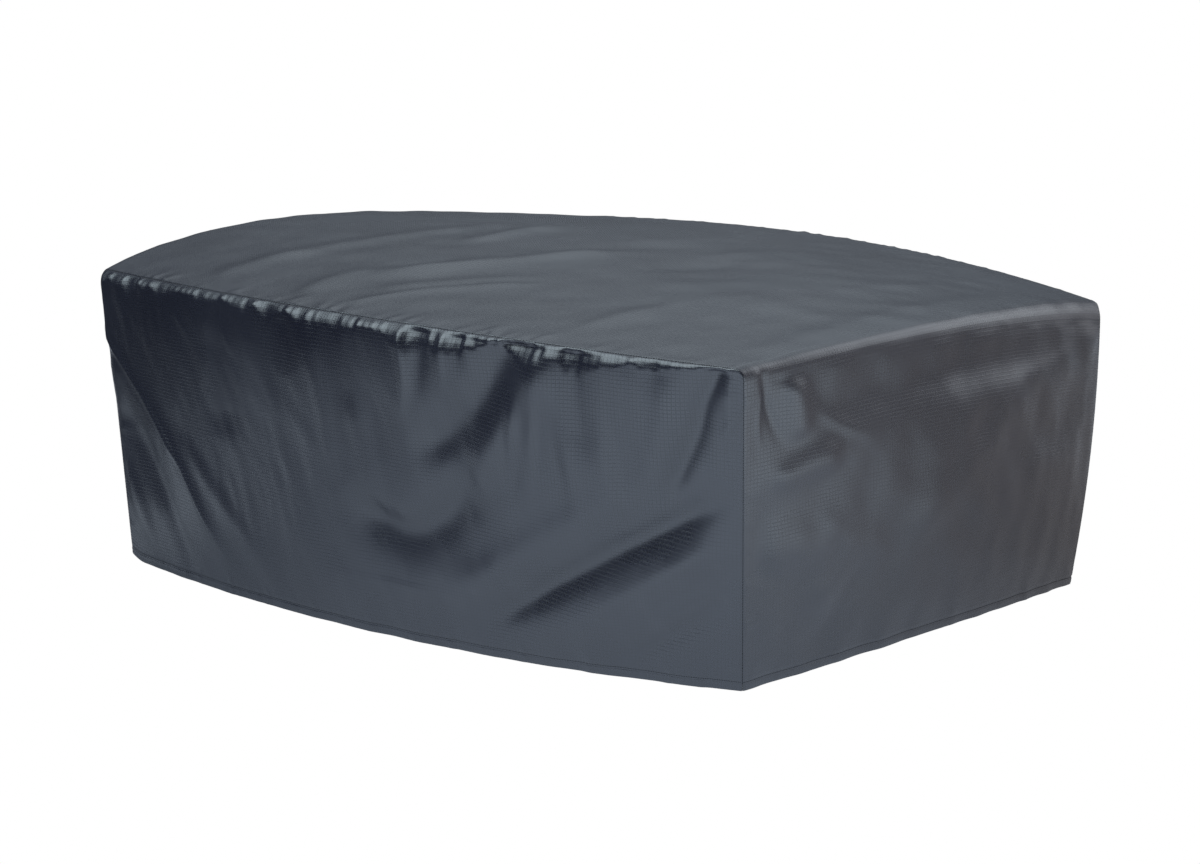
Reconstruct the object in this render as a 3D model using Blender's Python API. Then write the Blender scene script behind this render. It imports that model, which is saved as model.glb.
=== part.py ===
"""Fitted cover for a patio table and its chairs, hanging as it does on the set.

Metres, +Z up. X runs along the two long sides, and the near long side faces -Y. The
origin is the underside of the crown's middle, where the cloth lies on the table.

Three cut pieces are sewn together: one strip that makes the top and both ends, a near
side panel and a far side panel. Each is one closed sheet, its hem a part of it. The
strip rolls softly over each end and meets the side panels edge to edge at the seams.
"""

from collections import namedtuple

import bpy
import numpy as np

for leftover in list(bpy.data.objects):
    bpy.data.objects.remove(leftover, do_unlink=True)

# ---------------------------------------------------------------- driving sizes (metres)
SHEET = 0.002           # thickness of the cloth
SEAM_PULL_BACK = 0.00022  # each sheet stops this far short of the seam, along itself
DROP = 0.880            # cloth from the top's edge down to the hem
ROLL_NEAR = 0.033       # soft corner from the top into an end, at the near seam
ROLL_FAR = 0.050        # the same at the far seam
SEAM_CALM = 0.060       # folds fade out this close to a seam
FOLD_FADE = 0.35        # share of a fold's length over which each of its ends fades

# Corners of the top, where the seams meet: x, y, height above the near corners
TOP_CORNERS = {
    "near_left": (-1.160, -0.895, 0.000),
    "near_right": (1.155, -0.895, 0.000),
    "far_right": (1.170, 0.895, -0.090),
    "far_left": (-1.145, 0.895, -0.027),
}

# What hangs under each corner: how far the hem's corner stands from the one above
# (x, y), and how far the seam between them bellies out (x, y)
HemCorner = namedtuple("HemCorner", "lean belly")
HEM_CORNERS = {
    "near_left": HemCorner((0.082, -0.010), (0.000, 0.000)),
    "near_right": HemCorner((-0.119, 0.188), (0.000, 0.000)),
    "far_right": HemCorner((-0.058, 0.027), (0.018, 0.005)),
    "far_left": HemCorner((0.082, 0.027), (-0.004, 0.004)),
}

# The sides, each run from its first corner to its second: outward direction, bow and
# rise of the top's edge, extra bow of the hem, belly of the cloth between the two
Side = namedtuple("Side", "first second outward bow rise hem_bow belly")
SIDES = {
    "near": Side("near_left", "near_right", (0, -1), 0.086, 0.004, 0.031, 0.012),
    "far": Side("far_left", "far_right", (0, 1), 0.196, 0.053, 0.000, 0.015),
    "left": Side("near_left", "far_left", (-1, 0), 0.216, 0.060, 0.000, 0.020),
    "right": Side("near_right", "far_right", (1, 0), 0.076, 0.054, 0.024, 0.014),
}

# Cells of the modelled sheets
TOP_CELLS = 42          # along the top, between the two rolls
DROP_CELLS = 16         # down an end or a side, below the roll
ROLL_CELLS = 4          # round each roll, half of them on a side panel's edge
ACROSS_CELLS = 20       # from the near seam to the far one
ACROSS_CROWDING = 1.25  # above 1 the cells are narrower at the near seam

# Folds: ridges and hollows (height below 0) that run straight from one place to another
# and fade at both ends. Places are metres along the panel from its left seam (for an
# end, from its near seam) and metres of cloth below the top's edge.
#   from along, from down, to along, to down, height, half width (where it is 1/e)
NEAR_FOLDS = (
    (0.15, 0.15, 1.25, 0.16, -0.014, 0.100),  # slack under the seam, left part
    (0.04, 0.26, 0.24, 0.46, 0.014, 0.045),   # long ridge from the left corner
    (0.24, 0.45, 0.60, 0.84, 0.020, 0.048),
    (0.36, 0.46, 0.74, 0.80, 0.010, 0.040),
    (0.03, 0.60, 0.17, 0.84, 0.010, 0.040),
    (0.10, 0.44, 0.36, 0.84, -0.012, 0.045),  # hollow under the long ridge
    (0.62, 0.05, 0.66, 0.40, -0.008, 0.050),
    (0.95, 0.05, 1.02, 0.50, 0.009, 0.060),
    (1.30, 0.04, 1.38, 0.22, 0.012, 0.040),
    (1.68, 0.04, 1.42, 0.38, -0.018, 0.050),  # dark crease under the seam's middle
    (1.76, 0.12, 1.56, 0.44, 0.009, 0.045),
    (1.20, 0.44, 1.46, 0.58, -0.016, 0.050),  # pocket, left side
    (1.42, 0.58, 1.64, 0.40, -0.018, 0.050),  # pocket, right side
    (1.28, 0.66, 1.66, 0.56, 0.010, 0.045),
    (2.18, 0.43, 1.62, 0.81, -0.022, 0.045),  # strong slanting crease
    (2.02, 0.40, 1.50, 0.74, 0.012, 0.055),
    (2.22, 0.52, 1.80, 0.84, 0.014, 0.045),
    (2.26, 0.62, 1.94, 0.84, -0.010, 0.035),
    (2.24, 0.06, 2.14, 0.32, -0.010, 0.040),  # crease beside the near right corner
    (2.12, 0.10, 2.06, 0.34, 0.006, 0.040),
)
RIGHT_FOLDS = (
    (0.13, 0.08, 0.17, 0.20, 0.012, 0.040),   # two bumps and a swell by the near seam
    (0.12, 0.30, 0.28, 0.27, 0.010, 0.035),
    (0.06, 0.48, 0.30, 0.52, 0.012, 0.070),
    (0.12, 0.24, 0.26, 0.21, -0.007, 0.030),
    (0.30, 0.15, 1.55, 0.12, -0.010, 0.060),  # slack under the roll
    (1.78, 0.06, 1.05, 0.27, 0.016, 0.080),   # long ridge down from the far corner
    (1.10, 0.26, 0.62, 0.54, 0.012, 0.070),
    (1.55, 0.34, 1.00, 0.44, -0.010, 0.080),
    (0.42, 0.60, 0.20, 0.84, -0.008, 0.050),
)
FAR_FOLDS = (
    (0.25, 0.14, 0.72, 0.80, 0.016, 0.070),
    (0.70, 0.10, 1.30, 0.14, -0.010, 0.080),
    (1.12, 0.20, 1.04, 0.70, -0.012, 0.090),
    (1.98, 0.12, 1.55, 0.80, 0.015, 0.070),
    (1.70, 0.20, 1.40, 0.60, -0.010, 0.070),
)
LEFT_FOLDS = (
    (0.14, 0.12, 0.58, 0.80, 0.014, 0.070),
    (0.50, 0.14, 1.30, 0.13, -0.010, 0.070),
    (1.62, 0.12, 1.24, 0.78, 0.014, 0.075),
    (0.95, 0.30, 0.92, 0.84, 0.010, 0.090),
)

# Wrinkles of the top, in plan: from x, from y, to x, to y, height, half width
TOP_FOLDS = (
    (-0.27, -0.62, 0.05, 0.06, 0.006, 0.050),
    (-0.15, -0.74, 0.10, -0.44, 0.005, 0.045),
    (-0.41, -0.10, -0.46, 0.40, 0.006, 0.050),
    (-0.75, -0.60, -0.62, 0.20, 0.005, 0.055),
    (0.26, -0.06, 0.42, 0.12, -0.006, 0.080),
    (1.10, -0.66, 1.13, 0.70, 0.005, 0.045),  # the table's edge under the cloth
)

CLOTH_COLOUR = (0.045, 0.060, 0.075, 1.0)
CLOTH_ROUGHNESS = 0.5
CREASE_ANGLE = 40.0     # degrees: shading breaks only at the sheets' cut edges


# ---------------------------------------------------------------- edges of the form
def hump(t):
    """0 at both ends of a run, 1 in its middle."""
    return 4.0 * t * (1.0 - t)


def smooth(t):
    """Soft step from 0 to 1."""
    t = np.clip(t, 0.0, 1.0)
    return t * t * (3.0 - 2.0 * t)


def between(first, second, t):
    """Points from first to second at the fractions t."""
    return np.asarray(first) * (1.0 - t) + np.asarray(second) * t


def column(t):
    """Fractions as a column, so that they scale rows of points."""
    return np.atleast_1d(np.asarray(t, dtype=float))[:, None]


def top_edge(side, t):
    """Edge of the top along one side, before the roll rounds it."""
    run = SIDES[side]
    t = column(t)
    swell = np.append(np.multiply(run.outward, run.bow), run.rise)
    return between(TOP_CORNERS[run.first], TOP_CORNERS[run.second], t) + hump(t) * swell


def lean(side, t):
    """Where the hem stands from the top's edge, in plan."""
    run = SIDES[side]
    t = column(t)
    corners = between(HEM_CORNERS[run.first].lean, HEM_CORNERS[run.second].lean, t)
    return corners + hump(t) * np.multiply(run.outward, run.hem_bow)


def belly(side, t):
    """How far the cloth stands out of the straight line down to the hem, in plan."""
    run = SIDES[side]
    t = column(t)
    corners = between(HEM_CORNERS[run.first].belly, HEM_CORNERS[run.second].belly, t)
    return corners + hump(t) * np.multiply(run.outward, run.belly)


def hanging(side, t, down):
    """Points of the cloth that hangs on one side, at fractions of its drop."""
    sideways = lean(side, t)
    down = column(down)
    fall = np.sqrt(DROP ** 2 - (sideways ** 2).sum(axis=1, keepdims=True))
    plan = sideways * down + belly(side, t) * hump(down)
    return top_edge(side, t) + np.hstack([plan, -fall * down])


def top_surface(u, w):
    """The top, spanned between its four edges: u from left to right, w from near to far."""
    u, w = np.broadcast_arrays(np.atleast_1d(u).astype(float), np.atleast_1d(w).astype(float))
    across, along = column(w), column(u)
    long_sides = between(top_edge("near", u), top_edge("far", u), across)
    short_sides = between(top_edge("left", w), top_edge("right", w), along)
    near = between(TOP_CORNERS["near_left"], TOP_CORNERS["near_right"], along)
    far = between(TOP_CORNERS["far_left"], TOP_CORNERS["far_right"], along)
    return long_sides + short_sides - between(near, far, across)


# ---------------------------------------------------------------- folds
def fold_relief(folds, along, down):
    """Height of all the folds of one panel at the places given."""
    relief = np.zeros(np.broadcast(along, down).shape)
    for from_along, from_down, to_along, to_down, height, half_width in folds:
        run = np.array((to_along - from_along, to_down - from_down))
        length = np.hypot(*run)
        run = run / length
        x, y = along - from_along, down - from_down
        forward = (x * run[0] + y * run[1]) / length
        aside = x * run[1] - y * run[0]
        fade_in = smooth(forward / FOLD_FADE + 0.5)
        fade = fade_in * smooth((1.0 - forward) / FOLD_FADE + 0.5)
        relief = relief + height * fade * np.exp(-(aside / half_width) ** 2)
    return relief


def normals(grid):
    """Unit normals of a grid of points, on the side that its two directions give."""
    n = np.cross(np.gradient(grid, axis=0), np.gradient(grid, axis=1))
    return n / np.linalg.norm(n, axis=2, keepdims=True)


def calm(distance):
    """Keeps folds off a seam: 0 at it, 1 from SEAM_CALM on."""
    return smooth(distance / SEAM_CALM)


# ---------------------------------------------------------------- the strip
def across_fractions():
    """Places of the strip's lines from the near seam (0) to the far one (1)."""
    return np.linspace(0.0, 1.0, ACROSS_CELLS + 1) ** ACROSS_CROWDING


def roll_size(w):
    return ROLL_NEAR + (ROLL_FAR - ROLL_NEAR) * w


def end_run(side, w):
    """One end of the strip at one place: from its hem up to where the roll starts."""
    size = roll_size(w)
    down = np.linspace(1.0, size / DROP, DROP_CELLS + 1)
    return hanging(side, np.full(down.size, w), down)


def roll(start, corner, finish):
    """Soft corner between two runs, without its first and last points."""
    t = column(np.linspace(0.0, 1.0, ROLL_CELLS + 1)[1:-1])
    return start * (1 - t) ** 2 + 2 * corner * t * (1 - t) + finish * t ** 2


def strip_line(w):
    """One line along the strip: left hem, left end, top, right end, right hem."""
    left_edge, right_edge = top_edge("left", w)[0], top_edge("right", w)[0]
    inset = roll_size(w) / np.linalg.norm(right_edge - left_edge)
    left_end, right_end = end_run("left", w), end_run("right", w)
    top = top_surface(np.linspace(inset, 1.0 - inset, TOP_CELLS + 1), w)
    return np.vstack([
        left_end,
        roll(left_end[-1], left_edge, top[0]),
        top,
        roll(top[-1], right_edge, right_end[-1]),
        right_end[::-1],
    ])


def strip_grid():
    """Outer face of the strip: rows along it, columns from the near seam to the far."""
    fractions = across_fractions()
    grid = np.stack([strip_line(w) for w in fractions], axis=1)
    out = normals(grid)
    width = np.linalg.norm(grid[:, -1] - grid[:, 0], axis=1)[:, None]
    along = fractions[None, :] * width
    still = calm(along) * calm(width - along)
    end_rows = DROP_CELLS + 1
    down = np.linspace(DROP, ROLL_NEAR, end_rows)[:, None]
    fade_up = smooth((down - ROLL_NEAR) / SEAM_CALM)
    relief = np.zeros(grid.shape[:2])
    relief[:end_rows] = fade_up * fold_relief(LEFT_FOLDS, along[:end_rows], down)
    relief[-end_rows:] = (fade_up * fold_relief(RIGHT_FOLDS, along[:end_rows], down))[::-1]
    top = slice(end_rows, -end_rows)
    relief[top] = fold_relief(TOP_FOLDS, grid[top, :, 0], grid[top, :, 1])
    return grid + out * (relief * still)[..., None]


# ---------------------------------------------------------------- the side panels
def arc_fractions(points):
    """Fractions of the length along a line of points."""
    steps = np.linalg.norm(np.diff(points, axis=0), axis=1)
    return np.concatenate([[0.0], np.cumsum(steps)]) / steps.sum()


def panel_grid(side, seam, folds):
    """Outer face of a side panel: rows down from the top seam, columns left to right.

    seam is the strip's edge, from the left hem up, along the top and down to the right
    hem. The panel's corners are the middles of the two rolls.
    """
    turn = DROP_CELLS + ROLL_CELLS // 2
    left, right = seam[turn::-1], seam[-turn - 1:]
    top = seam[turn:-turn]
    u, v = column(arc_fractions(top))[None], column(arc_fractions(left))[:, None]
    hem = hanging(side, u[0, :, 0], np.ones(u.shape[1]))
    hem = hem + between(left[-1] - hem[0], right[-1] - hem[-1], u[0])
    grid = between(top[None], hem[None], v)
    straight_left = between(top[0], hem[0], v)
    straight_right = between(top[-1], hem[-1], v)
    grid = grid + between(left[:, None] - straight_left, right[:, None] - straight_right, u)
    outward = np.append(SIDES[side].outward, 0.0)
    grid = grid + outward * (SIDES[side].belly * hump(u) * hump(v))
    out = normals(grid)
    out = out * np.sign((out * outward).sum(axis=2, keepdims=True))
    width = np.linalg.norm(top[-1] - top[0])
    along, down = u[..., 0] * width, v[..., 0] * DROP
    still = calm(along) * calm(width - along) * calm(down)
    return grid + out * (fold_relief(folds, along, down) * still)[..., None]


# ---------------------------------------------------------------- closed sheets
def thickened(grid, out, seam_lines, partners):
    """Outer and inner points of a sheet whose listed edges are mitred seams.

    seam_lines give, for each seam, the index of its points and of the points one step
    into the sheet. partners are the normals of the sheet on the seam's other side.
    """
    outer, inner = grid.copy(), grid - out * SHEET
    for (edge, next_in), partner in zip(seam_lines, partners):
        own = out[edge]
        shared = 1.0 + (own * partner).sum(axis=1, keepdims=True)
        corner = grid[edge] - SHEET * (own + partner) / shared
        into = grid[next_in] - grid[edge]
        into = into - own * (into * own).sum(axis=1, keepdims=True)
        into = into / np.linalg.norm(into, axis=1, keepdims=True)
        outer[edge] = grid[edge] + into * SEAM_PULL_BACK
        inner[edge] = corner + into * SEAM_PULL_BACK
    return outer, inner


def outline_indices(rows, columns):
    """Indices of a grid's border, once round."""
    border = [(0, c) for c in range(columns - 1)]
    border += [(r, columns - 1) for r in range(rows - 1)]
    border += [(rows - 1, c) for c in range(columns - 1, 0, -1)]
    border += [(r, 0) for r in range(rows - 1, 0, -1)]
    return border


def sheet_faces(rows, columns):
    """Triangles of a closed sheet: outer points first, then as many inner ones.

    Both faces are split along the same diagonals, so the sheet keeps its thickness
    where its cells are twisted.
    """
    inner = rows * columns
    faces = []
    for r in range(rows - 1):
        for c in range(columns - 1):
            a = r * columns + c
            b, d = a + 1, a + columns
            e = d + 1
            faces += [(a, d, e), (a, e, b)]
            faces += [(inner + a, inner + e, inner + d), (inner + a, inner + b, inner + e)]
    border = [r * columns + c for r, c in outline_indices(rows, columns)]
    for a, b in zip(border, border[1:] + border[:1]):
        faces += [(a, b, inner + b), (a, inner + b, inner + a)]
    return faces


def add_sheet(name, outer, inner, material):
    """One closed, smooth-shaded sheet as an object."""
    rows, columns = outer.shape[:2]
    points = np.vstack([outer.reshape(-1, 3), inner.reshape(-1, 3)])
    faces = sheet_faces(rows, columns)
    sides = np.cross(outer[1, 0] - outer[0, 0], outer[0, 1] - outer[0, 0])
    if np.dot(sides, outer[0, 0] - inner[0, 0]) < 0:
        faces = [face[::-1] for face in faces]
    mesh = bpy.data.meshes.new(name)
    mesh.from_pydata(points.tolist(), [], faces)
    mesh.materials.append(material)
    mesh.shade_smooth()
    mesh.set_sharp_from_angle(angle=np.radians(CREASE_ANGLE))
    thing = bpy.data.objects.new(name, mesh)
    bpy.context.scene.collection.objects.link(thing)
    return thing


def cloth_material():
    material = bpy.data.materials.new("coated_polyester")
    material.use_nodes = True
    shader = material.node_tree.nodes["Principled BSDF"]
    shader.inputs["Base Color"].default_value = CLOTH_COLOUR
    shader.inputs["Roughness"].default_value = CLOTH_ROUGHNESS
    return material


def facing(grid, direction):
    """Normals of a grid, turned to the side that looks along a direction."""
    n = normals(grid)
    return n * np.sign((n[n.shape[0] // 2, n.shape[1] // 2] * direction).sum())


# ---------------------------------------------------------------- the cover
def cover_grids():
    """Outer faces of the three pieces, in the frame with its origin under the crown."""
    strip = strip_grid()
    near = panel_grid("near", strip[:, 0], NEAR_FOLDS)
    far = panel_grid("far", strip[:, -1], FAR_FOLDS)
    crown = top_surface(0.5, 0.5)[0, 2] - SHEET
    lowered = np.array((0.0, 0.0, crown))
    return strip - lowered, near - lowered, far - lowered


def seam_normals(panel_out):
    """Normals of a side panel along its seam, in the order of the strip's edge."""
    left = panel_out[:, 0][::-1]
    return np.vstack([left, panel_out[0, 1:-1], panel_out[:, -1]])


def build_cover():
    strip, near, far = cover_grids()
    strip_out = facing(strip, (0, 0, 1))
    near_out = facing(near, (0, -1, 0))
    far_out = facing(far, (0, 1, 0))
    turn = DROP_CELLS + ROLL_CELLS // 2
    cloth = cloth_material()

    all_rows = slice(None)
    strip_seams = [((all_rows, 0), (all_rows, 1)), ((all_rows, -1), (all_rows, -2))]
    partners = [seam_normals(near_out), seam_normals(far_out)]
    outer, inner = thickened(strip, strip_out, strip_seams, partners)
    add_sheet("top_and_ends", outer, inner, cloth)

    panels = (("near_side", near, near_out, 0), ("far_side", far, far_out, -1))
    for name, grid, out, edge in panels:
        strip_edge = strip_out[:, edge]
        seams = [
            ((0, all_rows), (1, all_rows)),
            ((all_rows, 0), (all_rows, 1)),
            ((all_rows, -1), (all_rows, -2)),
        ]
        shared = [strip_edge[turn:-turn], strip_edge[turn::-1], strip_edge[-turn - 1:]]
        outer, inner = thickened(grid, out, seams, shared)
        add_sheet(name, outer, inner, cloth)


build_cover()
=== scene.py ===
"""Looks of the fitted patio furniture cover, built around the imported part.

Metres, +Z up, in the frame of the CAD model: X along the two long sides, the near long
side toward -Y, the origin under the crown of the top. Three thin closed sheets of coated
ripstop cloth stand for the three CAD nodes. Each repeats its node's form on a finer grid
and adds the creases, the gathers at the seams, the hem and the stitching.
"""

from collections import namedtuple

import bpy
import numpy as np
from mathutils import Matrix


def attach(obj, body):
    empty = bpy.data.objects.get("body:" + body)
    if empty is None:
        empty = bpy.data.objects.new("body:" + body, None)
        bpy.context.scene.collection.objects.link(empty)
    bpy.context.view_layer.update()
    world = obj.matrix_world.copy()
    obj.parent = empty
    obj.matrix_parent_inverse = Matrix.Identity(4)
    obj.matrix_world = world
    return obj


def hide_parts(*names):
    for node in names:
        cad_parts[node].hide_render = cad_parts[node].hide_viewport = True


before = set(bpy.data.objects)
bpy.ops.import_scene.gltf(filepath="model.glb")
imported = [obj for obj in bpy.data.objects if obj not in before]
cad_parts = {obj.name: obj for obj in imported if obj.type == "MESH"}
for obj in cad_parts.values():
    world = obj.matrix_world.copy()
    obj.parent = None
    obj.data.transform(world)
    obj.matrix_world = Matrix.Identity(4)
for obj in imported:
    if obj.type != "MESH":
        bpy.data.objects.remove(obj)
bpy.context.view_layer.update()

CLOTH_MAP = "cloth"     # the UV map of a sheet, in metres on the cloth
WHITE = (1, 1, 1, 1)

# -------- the form, as in the CAD
SHEET = 0.002           # thickness of the cloth
DROP = 0.880            # cloth from the top's edge down to the hem
ROLL_NEAR = 0.033       # soft corner from the top into an end, at the near seam
ROLL_FAR = 0.050        # the same at the far seam
SEAM_CALM = 0.060       # folds fade out this close to a seam
HEM_CALM = 0.45         # share that the folds of a side panel lose toward its hem,
HEM_CALM_START = 0.62   # from this far down
HEM_CALM_RUN = 0.20     # and over this length
FOLD_FADE = 0.35        # share of a fold's length over which each of its ends fades
GRADING_STEPS = 4000    # fineness of the sums that space the lines of a grid

TOP_CORNERS = {
    "near_left": (-1.160, -0.895, 0.000),
    "near_right": (1.155, -0.895, 0.000),
    "far_right": (1.170, 0.895, -0.090),
    "far_left": (-1.145, 0.895, -0.027),
}
HemCorner = namedtuple("HemCorner", "lean belly")
HEM_CORNERS = {
    "near_left": HemCorner((0.082, -0.010), (0.000, 0.000)),
    "near_right": HemCorner((-0.119, 0.188), (0.000, 0.000)),
    "far_right": HemCorner((-0.058, 0.027), (0.018, 0.005)),
    "far_left": HemCorner((0.082, 0.027), (-0.004, 0.004)),
}
Side = namedtuple("Side", "first second outward bow rise hem_bow belly")
SIDES = {
    "near": Side("near_left", "near_right", (0, -1), 0.086, 0.004, 0.031, 0.012),
    "far": Side("far_left", "far_right", (0, 1), 0.196, 0.053, 0.000, 0.015),
    "left": Side("near_left", "far_left", (-1, 0), 0.216, 0.060, 0.000, 0.020),
    "right": Side("near_right", "far_right", (1, 0), 0.076, 0.054, 0.024, 0.014),
}

# Folds: from along, from down, to along, to down, height, half width. On the two ends along
# runs from the near seam, and on the top x and y stand for along and down
NEAR_FOLDS = (
    (0.04, 0.26, 0.24, 0.46, 0.006, 0.045),
    (0.24, 0.45, 0.60, 0.84, 0.009, 0.048),
    (0.40, 0.48, 0.74, 0.80, 0.006, 0.036),
    (0.03, 0.60, 0.17, 0.84, 0.007, 0.040),
    (0.10, 0.44, 0.36, 0.84, -0.009, 0.045),
    (0.57, 0.12, 0.60, 0.38, -0.006, 0.070),
    (1.00, 0.05, 1.04, 0.42, 0.007, 0.045),
    (1.14, 0.24, 1.20, 0.52, 0.006, 0.040),
    (1.78, 0.04, 1.50, 0.44, 0.011, 0.045),
    (1.28, 0.73, 1.60, 0.65, 0.004, 0.050),
    (1.82, 0.31, 1.96, 0.29, 0.014, 0.110),
    (1.66, 0.25, 1.74, 0.26, 0.010, 0.090),
    (2.20, 0.370, 1.56, 0.785, -0.018, 0.046),
    (2.00, 0.36, 1.50, 0.68, 0.010, 0.050),
    (2.23, 0.48, 1.74, 0.84, 0.014, 0.042),
    (2.28, 0.60, 1.94, 0.84, -0.009, 0.035),
    (2.10, 0.06, 2.06, 0.34, 0.006, 0.040),
)
RIGHT_FOLDS = (
    (0.15, 0.04, 0.18, 0.20, 0.011, 0.040),
    (0.10, 0.31, 0.30, 0.28, 0.011, 0.038),
    (0.06, 0.48, 0.28, 0.52, 0.012, 0.070),
    (0.30, 0.15, 1.55, 0.12, -0.010, 0.060),
    (1.78, 0.06, 1.05, 0.27, 0.008, 0.080),
    (1.10, 0.26, 0.62, 0.54, 0.012, 0.070),
    (1.55, 0.34, 1.00, 0.44, -0.010, 0.080),
    (0.42, 0.60, 0.20, 0.84, -0.008, 0.050),
)
FAR_FOLDS = (
    (0.25, 0.14, 0.72, 0.80, 0.016, 0.070),
    (0.70, 0.10, 1.30, 0.14, -0.010, 0.080),
    (1.12, 0.20, 1.04, 0.70, -0.012, 0.090),
    (1.98, 0.12, 1.55, 0.80, 0.015, 0.070),
    (1.70, 0.20, 1.40, 0.60, -0.010, 0.070),
)
LEFT_FOLDS = (
    (0.14, 0.12, 0.58, 0.80, 0.014, 0.070),
    (0.50, 0.14, 1.30, 0.13, -0.010, 0.070),
    (1.62, 0.12, 1.24, 0.78, 0.014, 0.075),
    (0.95, 0.30, 0.92, 0.84, 0.010, 0.090),
)
TOP_FOLDS = (
    (-0.27, -0.62, 0.05, 0.06, 0.006, 0.050),
    (-0.15, -0.74, 0.10, -0.44, 0.005, 0.045),
    (-0.41, -0.10, -0.46, 0.40, 0.006, 0.050),
    (-0.75, -0.60, -0.62, 0.20, 0.005, 0.055),
    (0.26, -0.06, 0.42, 0.12, -0.006, 0.080),
    (1.10, -0.66, 1.13, 0.70, 0.005, 0.045),
)

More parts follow.
